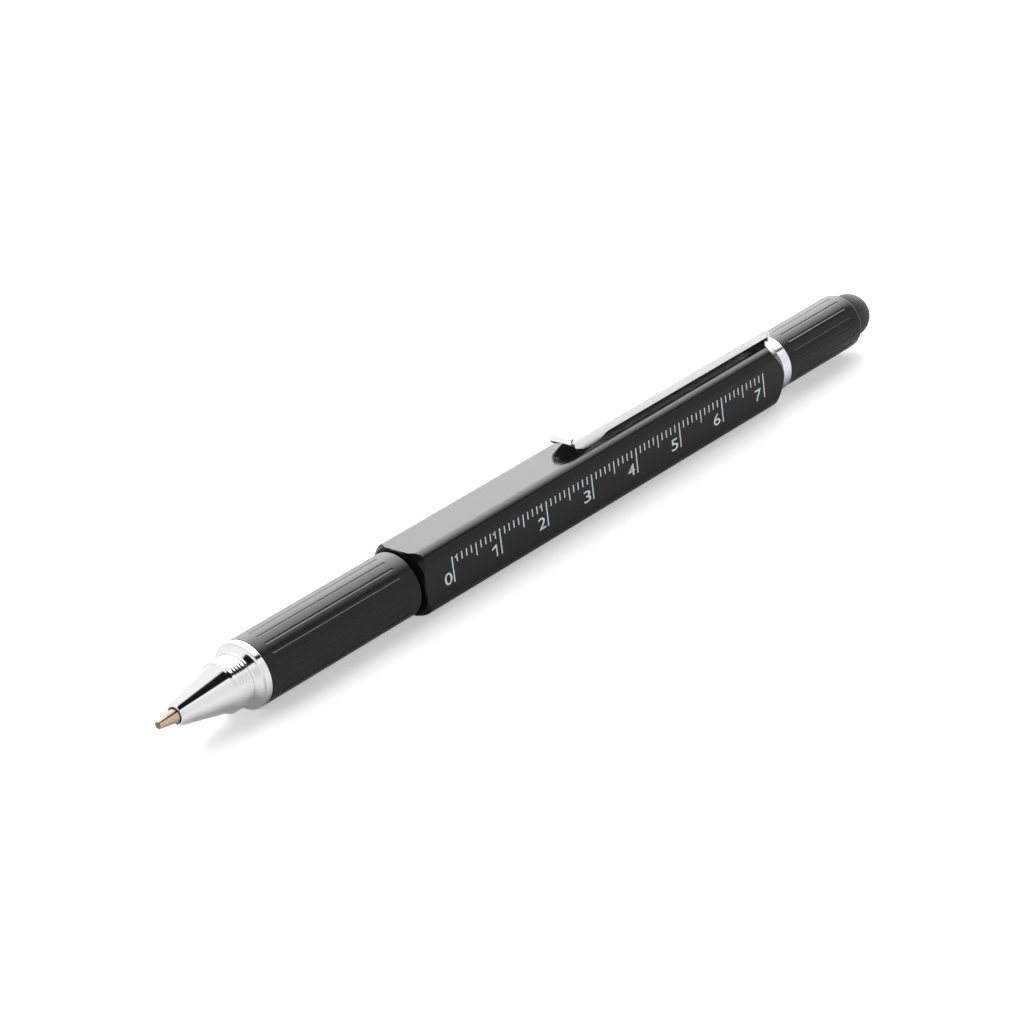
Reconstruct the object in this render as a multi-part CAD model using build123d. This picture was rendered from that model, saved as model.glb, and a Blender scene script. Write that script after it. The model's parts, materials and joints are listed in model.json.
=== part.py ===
from build123d import *
import math
import os

# Multi tool pen with a twist ballpoint, a ruler, a spirit level, a screwdriver bit and a stylus.
# Lengths are in millimetres. The pieces are built about the pen's axis, which is X: the ruler's
# zero is at X 0, +X runs towards the stylus, and the clip is on top. Each piece is moved at the
# end, so that the origin lies below the middle of the pen, on the surface that it rests on.

# Fits
seat_clearance = 0.02
running_clearance = 0.06
end_clearance = 0.1
overrun = 1.0

# Square barrel
barrel_side = 9.53
barrel_edge_round = 2.05
barrel_length = 81.2
barrel_bore_radius = 3.6
ruler_inset = 5.714
front_chamfer_length = 0.85
front_chamfer_depth = 0.66
rear_chamfer_length = 2.4
rear_chamfer_depth = 1.43
chamfer_reach_share = 1.2

# Front bushing
bushing_flange_radius = 4.8
bushing_flange = 0.3
bushing_length = 11.0

# Front grip
grip_radius = 4.87
grip_length = 29.45
grip_gap = 0.75
grip_bore_radius = 3.6
grip_edge_round = 0.15
groove_width = 0.42
groove_depth = 0.066
grip_groove_count = 20
grip_groove_start_angle = 94.6
grip_groove_front_inset = 1.8
grip_groove_rear_inset = 2.5

# Front ring
ring_radius = 4.85
ring_land = 1.05
ring_flare = 0.85
ring_lip = 0.3
ring_lip_radius = 3.9
ring_edge_round = 0.1

# Nose cone
nose_collar_radius = 3.72
nose_collar = 2.7
nose_shoulder = 0.3
nose_cone_length = 7.65
nose_cone_rear_radius = 3.38
nose_cone_front_radius = 1.72
nose_lip = 0.55
nose_lip_radius = 1.45
nose_lip_round = 0.2
nose_bore_depth = 6.0
nose_thread_radius = 3.3
nose_thread_length = 8.2
nose_chamber_radius = 2.1
collar_groove_count = 4
collar_groove_pitch = 0.5
collar_groove_width = 0.3
collar_groove_depth = 0.16
collar_groove_inset = 0.45

# Screw threads, drawn as rings
thread_pitch = 0.8
thread_depth = 0.25
thread_relief = 0.6

# Refill
refill_radius = 1.175
refill_length = 67.0
refill_wall = 0.2
tip_reach = 3.4
tip_cone_length = 3.65
tip_rim_radius = 0.58
tip_rim_round = 0.05
tip_base_radius = 1.12
tip_shoulder = 0.15
tip_shank_length = 3.0
tip_channel_radius = 0.3
ball_radius = 0.5
ball_stand_out = 0.3
ink_headspace = 7.88

# Twist mechanism
twist_angle = 180.0
refill_travel = 5.0
sleeve_neck_radius = 2.7
sleeve_shoulder_radius = 3.3
sleeve_shoulder = 0.8
sleeve_radius = 2.6
sleeve_bore_radius = 2.0
insert_length = 12.0
insert_stop = 1.5
friction_section_radius = 0.35
pin_radius = 0.5
pin_play = 0.12
pin_end_inset = 0.15
pin_setback = 2.3
carrier_tail = 2.2
carrier_grip = 8.0
plug_flange = 1.0
plug_boss = 1.3

# Spirit level
level_gap = 2.1
vial_length = 18.0
vial_wall = 0.7
level_plug_length = 2.5
window_length = 14.0
window_height = 4.2
bubble_radius = 1.0
bubble_length = 4.8
bubble_travel = 3.0

# Bit holder and rear ring
holder_shank_length = 19.0
neck_radius = 3.2
neck_reach = 6.3
rear_ring_radius = 4.44
rear_ring_length = 1.9
magnet_radius = 1.9
magnet_length = 1.6
holder_floor = 3.5

# Screwdriver bit
bit_across_flats = 4.0
bit_length = 30.0
bit_blade_length = 8.0
bit_shank_radius = 1.5
bit_hex_bevel = 0.35
blade_thickness = 0.5
cross_point_radius = 0.35
cross_point_length = 2.2
cross_web = 0.55
cross_flute_length = 3.2

# Rear cap
cap_radius = 4.32
cap_length = 18.05
cap_gap = 0.05
cap_bore_radius = 3.75
cap_end_wall = 1.0
cap_end_round = 0.62
cap_groove_count = 18
cap_groove_start_angle = 90.9
cap_groove_front_inset = 1.75
cap_groove_rear_inset = 2.0
cap_insert_inset = 0.4
cap_insert_length = 6.5

# Stylus
trim_ring_radius = 3.7
trim_ring_length = 0.35
trim_ring_edge_round = 0.1
dome_radius = 3.4
dome_rise = 1.65
dome_wall = 0.9
dome_skirt_radius = 2.98
stylus_stem_radius = 2.2
stylus_stem_reach = 2.2
stylus_plug_length = 2.0

# Clip
clip_width = 4.7
clip_sheet = 0.5
clip_rise = 2.12
clip_reach = 45.45
clip_flange = 1.23
clip_flange_inset = 0.6
clip_bend_radius = 0.85
clip_edge_round = 0.48
clip_notch = 0.75
paddle_length = 7.15
paddle_depth = 0.79
paddle_sole_share = 0.49
paddle_sole_depth_share = 1.56
paddle_brow_depth_share = -0.17
paddle_heel_round_share = 0.5
paddle_sole_round_share = 0.86
paddle_brow_round_share = 0.08
paddle_front_round_share = 0.07
lip_width = 3.7
lip_reach = 0.58
lip_lean = 0.62
lip_back = 0.1
lip_rise = 0.2
lip_edge_round = 0.08
lip_corner_round = 0.3
lip_neck_width = 2.8
tab_width = 3.4
tab_foot_clearance = 0.12

# Places along the axis
barrel_front = -ruler_inset
barrel_rear = barrel_front + barrel_length
bushing_front = barrel_front - bushing_flange
bushing_rear = barrel_front + bushing_length
grip_rear = bushing_front - grip_gap
grip_front = grip_rear - grip_length
ring_front = grip_front - ring_land - ring_flare - ring_lip
collar_front = ring_front - nose_collar
cone_rear = collar_front - nose_shoulder
cone_front = cone_rear - nose_cone_length
nose_mouth = cone_front - nose_lip
tip_end = nose_mouth - tip_reach
refill_tail = tip_end + refill_length
tube_front = tip_end + ball_stand_out + tip_cone_length + tip_shoulder
ink_front = tube_front + tip_shank_length + seat_clearance
ink_length = refill_tail - ink_headspace - ink_front
pin_place = refill_tail + pin_setback
carrier_rear = pin_place + carrier_tail
shoulder_front = bushing_rear + 2 * friction_section_radius + end_clearance / 2
shoulder_rear = shoulder_front + sleeve_shoulder
sleeve_rear = carrier_rear + refill_travel + 2 * end_clearance
housing_rear = sleeve_rear + end_clearance + plug_boss
housing_plug_rear = housing_rear + plug_flange
rear_ring_rear = barrel_rear + rear_ring_length
neck_rear = rear_ring_rear + neck_reach
holder_front = barrel_rear - holder_shank_length
vial_front = housing_plug_rear + level_gap
vial_middle = vial_front + vial_length / 2
magnet_front = holder_front + holder_floor
socket_floor = magnet_front + magnet_length
bit_front = socket_floor + end_clearance
cap_front = rear_ring_rear + cap_gap
cap_rear = cap_front + cap_length
dome_front = cap_rear + trim_ring_length
dome_middle = dome_front + dome_rise
pen_end = dome_middle + dome_radius

# Sizes that follow
face = barrel_side / 2
corner_radius = (face - barrel_edge_round) * math.sqrt(2) + barrel_edge_round
bore_fit_radius = barrel_bore_radius - seat_clearance
nose_bore_radius = refill_radius + running_clearance
ring_bore_radius = nose_thread_radius + 2 * seat_clearance
housing_bore_radius = sleeve_radius + running_clearance
vial_bore_radius = bore_fit_radius - vial_wall
cap_fit_radius = cap_bore_radius - seat_clearance
socket_across_flats = bit_across_flats + 2 * running_clearance
clip_top = face + clip_rise
clip_under = clip_top - clip_sheet
clip_rear = barrel_rear - end_clearance
clip_front = clip_rear - clip_reach
pen_middle = (tip_end + pen_end) / 2


def turned(*stations):
    """A solid of revolution about the axis, from (place, radius) or (place, radius, rounding)."""
    points = [station[:2] for station in stations]
    rounds = [station[2] if len(station) > 2 else 0 for station in stations]
    if any(rounds):
        outline = FilletPolyline(*points, radius=rounds, close=True)
    else:
        outline = Polyline(*points, close=True)
    return revolve(make_face(outline), Axis.X)


def rod(start, end, radius):
    """A plain round bar along the axis."""
    bar = Cylinder(radius, end - start, align=(Align.CENTER, Align.CENTER, Align.MIN))
    return Plane.YZ.offset(start) * bar


def tube(start, end, radius, bore):
    """A plain round tube along the axis."""
    return turned((start, bore), (start, radius), (end, radius), (end, bore))


def ridges(start, end, crest):
    """Stations of the ring ridges of a screw thread."""
    stations = []
    for turn in range(int((end - start) / thread_pitch)):
        place = start + turn * thread_pitch
        stations += [(place, crest - thread_depth), (place + thread_pitch / 2, crest)]
    return stations + [(end, crest - thread_depth)]


def hexagon(start, end, across_flats):
    """A hexagonal bar along the axis."""
    section = RegularPolygon(across_flats / 2, 6, major_radius=False)
    return extrude(Plane.YZ.offset(start) * section, end - start)


def grooves(start, end, radius, count, first_angle):
    """Cutters for long grooves with round floors and ends. The angle is up from the ruler's side."""
    half_width = groove_width / 2
    cutter_radius = (half_width**2 + groove_depth**2) / (2 * groove_depth)
    cutter = rod(start + half_width, end - half_width, cutter_radius)
    for place in (start + half_width, end - half_width):
        cutter += Pos(place, 0, 0) * Sphere(cutter_radius)
    cutter = Pos(0, groove_depth - radius - cutter_radius, 0) * cutter
    return [cutter.rotate(Axis.X, turn * 360 / count - first_angle) for turn in range(count)]


def side_plate(outline, width):
    """A plate from an outline of (place, height) points, centred across the pen."""
    return extrude(Plane.XZ * make_face(outline), width / 2, both=True)


# Writing end

def writing_ball():
    return Pos(tip_end + ball_radius, 0, 0) * Sphere(ball_radius)


def refill_tip():
    rim = tip_end + ball_stand_out
    base = rim + tip_cone_length
    shank = base + tip_shoulder
    shank_radius = refill_radius - refill_wall - seat_clearance
    body = turned(
        (rim, 0),
        (rim, tip_rim_radius, tip_rim_round),
        (base, tip_base_radius),
        (base, refill_radius),
        (shank, refill_radius),
        (shank, shank_radius),
        (shank + tip_shank_length, shank_radius),
        (shank + tip_shank_length, 0),
    )
    seat = Pos(tip_end + ball_radius, 0, 0) * Sphere(ball_radius + seat_clearance)
    channel = rod(tip_end + ball_radius, shank + tip_shank_length + overrun, tip_channel_radius)
    return body - seat - channel


def refill_tube():
    return tube(tube_front, refill_tail, refill_radius, refill_radius - refill_wall)


def ink():
    return rod(ink_front, ink_front + ink_length, refill_radius - refill_wall - seat_clearance)


def nose_cone():
    stations = [
        (nose_mouth, nose_bore_radius),
        (nose_mouth, nose_lip_radius, nose_lip_round),
        (cone_front, nose_cone_front_radius, nose_lip_round),
        (cone_rear, nose_cone_rear_radius),
        (collar_front, nose_collar_radius),
    ]
    for turn in range(collar_groove_count):
        place = collar_front + collar_groove_inset + turn * collar_groove_pitch
        stations += [
            (place, nose_collar_radius),
            (place + collar_groove_width / 2, nose_collar_radius - collar_groove_depth),
            (place + collar_groove_width, nose_collar_radius),
        ]
    thread_root = nose_thread_radius - thread_depth
    thread_end = grip_front + nose_thread_length
    stations += [(ring_front, nose_collar_radius), (ring_front, thread_root)]
    stations += ridges(grip_front + thread_relief, thread_end, nose_thread_radius)
    stations += [
        (thread_end, nose_chamber_radius),
        (nose_mouth + nose_bore_depth + nose_chamber_radius - nose_bore_radius, nose_chamber_radius),
        (nose_mouth + nose_bore_depth, nose_bore_radius),
    ]
    return turned(*stations)


def front_ring():
    flare_front = ring_front + ring_lip
    land_front = flare_front + ring_flare
    return turned(
        (ring_front, ring_bore_radius),
        (ring_front, ring_lip_radius, ring_edge_round),
        (flare_front, ring_lip_radius),
        (land_front, ring_radius, ring_edge_round),
        (grip_front, ring_radius, ring_edge_round),
        (grip_front, ring_bore_radius),
    )


def front_grip():
    thread_end = grip_front + nose_thread_length + thread_relief
    sleeve = turned(
        (grip_front, ring_bore_radius),
        (grip_front, grip_radius, grip_edge_round),
        (grip_rear, grip_radius, grip_edge_round),
        (grip_rear, grip_bore_radius),
        (thread_end, grip_bore_radius),
        (thread_end, ring_bore_radius),
    )
    return sleeve - grooves(
        grip_front + grip_groove_front_inset,
        grip_rear - grip_groove_rear_inset,
        grip_radius,
        grip_groove_count,
        grip_groove_start_angle,
    )


# Twist mechanism

def insert_front():
    return grip_rear - insert_length


def grip_insert():
    stop_rear = insert_front() + insert_stop
    return turned(
        (insert_front(), sleeve_bore_radius),
        (insert_front(), grip_bore_radius - seat_clearance),
        (grip_rear, grip_bore_radius - seat_clearance),
        (grip_rear, sleeve_neck_radius + seat_clearance),
        (stop_rear, sleeve_neck_radius + seat_clearance),
        (stop_rear, sleeve_bore_radius),
    )


def pin_plane(place):
    """A plane across the axis with its own X direction up, along the cam pin."""
    return Plane(origin=(place, 0, 0), x_dir=(0, 0, 1), z_dir=(1, 0, 0))


def helical_slot():
    """The sleeve's slot: the pin's path as the sleeve turns round it."""
    middle_radius = (sleeve_bore_radius + sleeve_radius) / 2
    depth = 2 * (sleeve_radius - sleeve_bore_radius)
    width = 2 * (pin_radius + pin_play)
    lead = refill_travel * 360 / twist_angle
    path = Helix(lead, refill_travel, middle_radius, lefthand=True)
    start = Plane(origin=path @ 0, x_dir=(1, 0, 0), z_dir=path % 0)
    slot = sweep(start * Rectangle(depth, width), path, is_frenet=True)
    end = Pos(middle_radius, 0, 0) * Rot(0, 90, 0) * Cylinder(width / 2, depth)
    slot += end
    slot += Pos(0, 0, refill_travel) * Rot(0, 0, -twist_angle) * end
    return pin_plane(pin_place).location * slot


def cam_sleeve():
    body = turned(
        (insert_front() + insert_stop, sleeve_bore_radius),
        (insert_front() + insert_stop, sleeve_neck_radius),
        (shoulder_front, sleeve_neck_radius),
        (shoulder_front, sleeve_shoulder_radius),
        (shoulder_rear, sleeve_shoulder_radius),
        (shoulder_rear, sleeve_radius),
        (sleeve_rear, sleeve_radius),
        (sleeve_rear, sleeve_bore_radius),
    )
    return body - helical_slot()


def friction_ring():
    middle_radius = sleeve_neck_radius + seat_clearance + friction_section_radius
    ring = Torus(middle_radius, friction_section_radius)
    return Plane.YZ.offset((bushing_rear + shoulder_front) / 2) * ring


def front_bushing():
    bore = sleeve_neck_radius + running_clearance
    return turned(
        (bushing_front, bore),
        (bushing_front, bushing_flange_radius),
        (barrel_front, bushing_flange_radius),
        (barrel_front, bore_fit_radius),
        (bushing_rear, bore_fit_radius),
        (bushing_rear, bore),
    )


def mechanism_housing():
    body = tube(shoulder_rear + end_clearance, housing_rear, bore_fit_radius, housing_bore_radius)
    width = 2 * (pin_radius + pin_play)
    slot = SlotOverall(refill_travel + width, width)
    middle = pin_place + refill_travel / 2
    return body - extrude(Plane.XY * Pos(middle, 0) * slot, barrel_bore_radius + overrun)


def housing_plug():
    return turned(
        (housing_rear - plug_boss, 0),
        (housing_rear - plug_boss, housing_bore_radius - seat_clearance),
        (housing_rear, housing_bore_radius - seat_clearance),
        (housing_rear, bore_fit_radius),
        (housing_plug_rear, bore_fit_radius),
        (housing_plug_rear, 0),
    )


def refill_carrier():
    body = rod(refill_tail - carrier_grip, carrier_rear, sleeve_bore_radius - running_clearance)
    socket = rod(refill_tail - carrier_grip - overrun, refill_tail, refill_radius + seat_clearance)
    pin_hole = pin_plane(pin_place) * Rot(0, 90, 0) * Cylinder(pin_radius + seat_clearance, barrel_side)
    return body - socket - pin_hole


def cam_pin():
    foot = -(sleeve_bore_radius - 2 * running_clearance - pin_end_inset)
    head = bore_fit_radius - pin_end_inset
    bar = Cylinder(pin_radius, head - foot, align=(Align.CENTER, Align.CENTER, Align.MIN))
    return Pos(pin_place, 0, foot) * bar


# Barrel, level and clip

def barrel():
    section = RectangleRounded(barrel_side, barrel_side, barrel_edge_round)
    square = extrude(Plane.YZ.offset(barrel_front) * section, barrel_length)
    front_radius = corner_radius - front_chamfer_depth
    rear_radius = corner_radius - rear_chamfer_depth
    envelope = turned(
        (barrel_front, 0),
        (barrel_front, front_radius),
        (
            barrel_front + front_chamfer_length * chamfer_reach_share,
            front_radius + front_chamfer_depth * chamfer_reach_share,
        ),
        (
            barrel_rear - rear_chamfer_length * chamfer_reach_share,
            rear_radius + rear_chamfer_depth * chamfer_reach_share,
        ),
        (barrel_rear, rear_radius),
        (barrel_rear, 0),
    )
    bore = rod(barrel_front - overrun, barrel_rear + overrun, barrel_bore_radius)
    window = extrude(
        Plane.XZ.offset(-(barrel_bore_radius / 2))
        * Pos(vial_middle, 0)
        * SlotOverall(window_length, window_height),
        -barrel_side,
    )
    notch_front = clip_rear - clip_sheet - end_clearance
    notch = Pos(notch_front, 0, 0) * Box(
        barrel_rear - notch_front + overrun,
        tab_width + 2 * end_clearance,
        barrel_side,
        align=(Align.MIN, Align.CENTER, Align.MIN),
    )
    return (square & envelope) - bore - window - notch


def level_vial():
    return tube(vial_front, vial_front + vial_length, bore_fit_radius, vial_bore_radius)


def level_plugs():
    radius = vial_bore_radius - seat_clearance
    front = rod(vial_front, vial_front + level_plug_length, radius)
    vial_rear = vial_front + vial_length
    rear = rod(vial_rear - level_plug_length, vial_rear, radius)
    return [front, rear]


def bubble_height():
    return vial_bore_radius - bubble_radius - running_clearance


def bubble_shape(radius, length):
    """A bar along the axis with round ends, at the top of the vial."""
    straight = length - 2 * radius
    bar = rod(vial_middle - straight / 2, vial_middle + straight / 2, radius)
    for side in (-1, 1):
        bar += Pos(vial_middle + side * straight / 2, 0, 0) * Sphere(radius)
    return Pos(0, 0, bubble_height()) * bar


def level_fluid():
    start = vial_front + level_plug_length
    end = vial_front + vial_length - level_plug_length
    body = rod(start, end, vial_bore_radius - seat_clearance)
    radius = bubble_radius + running_clearance
    run = bubble_length + 2 * bubble_travel + 2 * running_clearance
    trough = Pos(vial_middle, 0, bubble_height()) * Box(
        run - 2 * radius, 2 * radius, barrel_side, align=(Align.CENTER, Align.CENTER, Align.MIN)
    )
    for side in (-1, 1):
        place = vial_middle + side * (run / 2 - radius)
        well = Cylinder(radius, barrel_side, align=(Align.CENTER, Align.CENTER, Align.MIN))
        trough += Pos(place, 0, bubble_height()) * well
    return body - bubble_shape(radius, run) - trough


def level_bubble():
    return bubble_shape(bubble_radius, bubble_length)


def clip():
    flange_bottom = clip_top - clip_flange
    sheet_front = clip_front + clip_notch
    spine = FilletPolyline(
        (sheet_front, clip_under),
        (sheet_front, clip_top),
        (clip_rear, clip_top),
        (clip_rear, face + end_clearance / 2),
        (clip_rear - clip_sheet, face + end_clearance / 2),
        (clip_rear - clip_sheet, clip_under),
        radius=[0, 0, clip_bend_radius, 0, 0, clip_bend_radius - clip_sheet],
        close=True,
    )
    body = side_plate(spine, clip_width)
    flange_rear = clip_rear - clip_flange_inset
    flange = FilletPolyline(
        (flange_rear, flange_bottom),
        (clip_front + paddle_length, flange_bottom),
        (
            clip_front + paddle_length * paddle_sole_share,
            flange_bottom - paddle_depth * paddle_sole_depth_share,
        ),
        (clip_front, flange_bottom - paddle_depth * paddle_brow_depth_share),
        (clip_front, clip_top),
        (flange_rear - clip_bend_radius, clip_top),
        (flange_rear, clip_under),
        radius=[
            0,
            paddle_length * paddle_heel_round_share,
            paddle_length * paddle_sole_round_share,
            paddle_length * paddle_brow_round_share,
            paddle_length * paddle_front_round_share,
            0,
            0,
        ],
        close=True,
    )
    block = side_plate(flange, clip_width)
    inner = side_plate(flange, clip_width - 2 * clip_sheet)
    body += block - inner
    section = RectangleRounded(clip_width, 2 * clip_top, clip_edge_round)
    body &= extrude(Plane.YZ.offset(clip_front - overrun) * section, clip_reach + 2 * overrun)
    tab_foot = bore_fit_radius + tab_foot_clearance
    tab = Pos(clip_rear - clip_sheet, 0, tab_foot) * Box(
        clip_sheet,
        tab_width,
        face + end_clearance - tab_foot,
        align=(Align.MIN, Align.CENTER, Align.MIN),
    )
    return body + tab + clip_lip(sheet_front)


def clip_lip(sheet_front):
    """The up-turned lip: a bar with a slanted face and round ends, on a neck of the clip's sheet."""
    toe = clip_front - lip_reach
    crest = toe + lip_lean
    back = crest + lip_back
    profile = FilletPolyline(
        (toe, clip_under),
        (crest, clip_top + lip_rise),
        (back, clip_top),
        (back, clip_under),
        radius=[lip_edge_round, lip_edge_round, 0, 0],
        close=True,
    )
    outline = Pos((toe + back) / 2, 0) * RectangleRounded(back - toe, lip_width, lip_corner_round)
    bar = side_plate(profile, lip_width) & extrude(outline, clip_top + lip_rise)
    neck = Pos(crest, 0, clip_under) * Box(
        sheet_front + clip_sheet - crest,
        lip_neck_width,
        clip_sheet,
        align=(Align.MIN, Align.CENTER, Align.MIN),
    )
    return bar + neck


# Screwdriver end

def bit_holder():
    root = neck_radius - thread_depth
    stations = [
        (holder_front, 0),
        (holder_front, bore_fit_radius),
        (barrel_rear, bore_fit_radius),
        (barrel_rear, neck_radius),
        (rear_ring_rear, neck_radius),
        (rear_ring_rear, root),
    ]
    stations += ridges(rear_ring_rear + thread_relief, neck_rear, neck_radius)
    stations += [(neck_rear, 0)]
    socket = hexagon(socket_floor, neck_rear + overrun, socket_across_flats)
    pocket = rod(magnet_front, socket_floor + overrun, magnet_radius + seat_clearance)
    return turned(*stations) - socket - pocket


def rear_ring():
    bore = neck_radius + seat_clearance
    return turned(
        (barrel_rear, bore),
        (barrel_rear, rear_ring_radius, ring_edge_round),
        (rear_ring_rear, rear_ring_radius, ring_edge_round),
        (rear_ring_rear, bore),
    )


def bit_magnet():
    return rod(magnet_front, socket_floor, magnet_radius)


def screwdriver_bit():
    bit_rear = bit_front + bit_length
    hex_front = bit_front + bit_blade_length
    hex_rear = bit_rear - bit_blade_length
    outer = bit_across_flats / math.sqrt(3)
    body = hexagon(hex_front, hex_rear, bit_across_flats) & turned(
        (hex_front, 0),
        (hex_front, outer - bit_hex_bevel),
        (hex_front + bit_hex_bevel, outer),
        (hex_rear - bit_hex_bevel, outer),
        (hex_rear, outer - bit_hex_bevel),
        (hex_rear, 0),
    )
    blade = rod(bit_front, hex_front + bit_hex_bevel, bit_shank_radius)
    for side in (-1, 1):
        cheek = Polyline(
            (bit_front - overrun, side * blade_thickness / 2),
            (bit_front, side * blade_thickness / 2),
            (bit_front + bit_blade_length / 2, side * bit_shank_radius),
            (bit_front + bit_blade_length / 2, side * 2 * bit_shank_radius),
            (bit_front - overrun, side * 2 * bit_shank_radius),
            close=True,
        )
        blade -= side_plate(cheek, 4 * bit_shank_radius)
    cross = turned(
        (hex_rear - bit_hex_bevel, 0),
        (hex_rear - bit_hex_bevel, bit_shank_radius),
        (bit_rear - cross_point_length, bit_shank_radius),
        (bit_rear, cross_point_radius),
        (bit_rear, 0),
    )
    flute = Pos(bit_rear - cross_flute_length, cross_web / 2, cross_web / 2) * Box(
        cross_flute_length + overrun,
        2 * bit_shank_radius,
        2 * bit_shank_radius,
        align=(Align.MIN, Align.MIN, Align.MIN),
    )
    cross -= [flute.rotate(Axis.X, quarter * 90) for quarter in range(4)]
    return body + blade + cross


# Cap and stylus

def rear_cap():
    shell = turned(
        (cap_front, cap_bore_radius),
        (cap_front, cap_radius, grip_edge_round),
        (cap_rear, cap_radius, cap_end_round),
        (cap_rear, dome_skirt_radius + seat_clearance),
        (cap_rear - cap_end_wall, dome_skirt_radius + seat_clearance),
        (cap_rear - cap_end_wall, cap_bore_radius),
    )
    return shell - grooves(
        cap_front + cap_groove_front_inset,
        cap_rear - cap_groove_rear_inset,
        cap_radius,
        cap_groove_count,
        cap_groove_start_angle,
    )


def cap_insert():
    start = cap_front + cap_insert_inset
    return tube(start, start + cap_insert_length, cap_fit_radius, neck_radius + running_clearance)


def trim_ring():
    bore = dome_skirt_radius + seat_clearance
    return turned(
        (cap_rear, bore),
        (cap_rear, trim_ring_radius, trim_ring_edge_round),
        (dome_front, trim_ring_radius, trim_ring_edge_round),
        (dome_front, bore),
    )


def stylus_plug():
    flange_rear = cap_rear - cap_end_wall
    return turned(
        (flange_rear - stylus_plug_length, 0),
        (flange_rear - stylus_plug_length, cap_fit_radius),
        (flange_rear, cap_fit_radius),
        (flange_rear, stylus_stem_radius),
        (flange_rear + stylus_stem_reach, stylus_stem_radius),
        (flange_rear + stylus_stem_reach, 0),
    )


def stylus_dome():
    ball = Pos(dome_middle, 0, 0) * Sphere(dome_radius)
    ball -= rod(dome_middle - 2 * dome_radius, dome_front, 2 * dome_radius)
    skirt_front = cap_rear - cap_end_wall
    ball += rod(skirt_front, dome_middle, dome_skirt_radius)
    hollow = Pos(dome_middle, 0, 0) * Sphere(dome_radius - dome_wall)
    hollow += rod(skirt_front - overrun, dome_middle, stylus_stem_radius + seat_clearance)
    return ball - hollow


pieces = {
    "writing_ball": writing_ball,
    "refill_tip": refill_tip,
    "refill_tube": refill_tube,
    "ink": ink,
    "nose_cone": nose_cone,
    "front_ring": front_ring,
    "front_grip": front_grip,
    "grip_insert": grip_insert,
    "cam_sleeve": cam_sleeve,
    "friction_ring": friction_ring,
    "front_bushing": front_bushing,
    "mechanism_housing": mechanism_housing,
    "housing_plug": housing_plug,
    "refill_carrier": refill_carrier,
    "cam_pin": cam_pin,
    "barrel": barrel,
    "level_vial": level_vial,
    "level_plugs": level_plugs,
    "level_fluid": level_fluid,
    "level_bubble": level_bubble,
    "clip": clip,
    "bit_holder": bit_holder,
    "rear_ring": rear_ring,
    "bit_magnet": bit_magnet,
    "screwdriver_bit": screwdriver_bit,
    "rear_cap": rear_cap,
    "cap_insert": cap_insert,
    "trim_ring": trim_ring,
    "stylus_plug": stylus_plug,
    "stylus_dome": stylus_dome,
}

os.makedirs("parts", exist_ok=True)
resting_place = Pos(-pen_middle, 0, grip_radius)
for name, make in pieces.items():
    made = make()
    solids = made if isinstance(made, list) else made.solids()
    placed = Compound(children=[resting_place * solid for solid in solids])
    export_step(placed, f"parts/{name}.step")
    print(name, len(placed.solids()), round(placed.volume, 3))
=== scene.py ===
import json
import math

import bmesh
import bpy
from mathutils import Matrix, Vector


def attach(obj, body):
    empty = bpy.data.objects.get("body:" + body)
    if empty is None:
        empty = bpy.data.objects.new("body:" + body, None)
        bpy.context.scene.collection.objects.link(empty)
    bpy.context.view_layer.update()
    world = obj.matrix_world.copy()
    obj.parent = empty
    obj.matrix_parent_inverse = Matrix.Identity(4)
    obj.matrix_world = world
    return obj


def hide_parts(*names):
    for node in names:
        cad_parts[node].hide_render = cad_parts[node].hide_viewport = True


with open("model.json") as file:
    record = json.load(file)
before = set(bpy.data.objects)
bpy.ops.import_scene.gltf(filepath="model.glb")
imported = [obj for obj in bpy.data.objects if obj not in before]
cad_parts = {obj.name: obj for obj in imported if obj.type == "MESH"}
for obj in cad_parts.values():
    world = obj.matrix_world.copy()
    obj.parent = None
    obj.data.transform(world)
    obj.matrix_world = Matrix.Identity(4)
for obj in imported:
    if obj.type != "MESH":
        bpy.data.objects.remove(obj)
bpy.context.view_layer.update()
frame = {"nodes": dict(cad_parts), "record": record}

# Places and sizes are in millimetres along the pen. The ruler's zero is at its "zero", just
# short of 0, and the stylus is at +X.
mm = 0.001
pen = {"middle": 23.45, "axisHeight": 4.87}


def place(x, y=0.0, z=0.0):
    return Vector(((x - pen["middle"]) * mm, y * mm, (z + pen["axisHeight"]) * mm))


# Maths on sockets

class Value:  # wraps one socket, so that a formula adds its own Math nodes
    def __init__(self, tree, socket):
        self.tree, self.socket = tree, socket

    def math(self, operation, first, second=None):
        node = self.tree.nodes.new("ShaderNodeMath")
        node.operation = operation
        for slot, part in zip(node.inputs, (first, second)):
            if isinstance(part, Value):
                self.tree.links.new(part.socket, slot)
            elif part is not None:
                slot.default_value = part
        return Value(self.tree, node.outputs[0])

    def __add__(self, other): return self.math("ADD", self, other)
    def __radd__(self, other): return self.math("ADD", other, self)
    def __sub__(self, other): return self.math("SUBTRACT", self, other)
    def __rsub__(self, other): return self.math("SUBTRACT", other, self)
    def __mul__(self, other): return self.math("MULTIPLY", self, other)
    def __rmul__(self, other): return self.math("MULTIPLY", other, self)
    def __truediv__(self, other): return self.math("DIVIDE", self, other)
    def __mod__(self, other): return self.math("MODULO", self, other)
    def __lt__(self, other): return self.math("LESS_THAN", self, other)


def addNode(tree, kind, settings=None, inputs=None, out=0):
    node = tree.nodes.new(kind)
    for name, setting in (settings or {}).items():
        setattr(node, name, setting)
    for name, part in (inputs or {}).items():
        if isinstance(part, Value):
            tree.links.new(part.socket, node.inputs[name])
        else:
            node.inputs[name].default_value = part
    return Value(tree, node.outputs[out])


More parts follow.
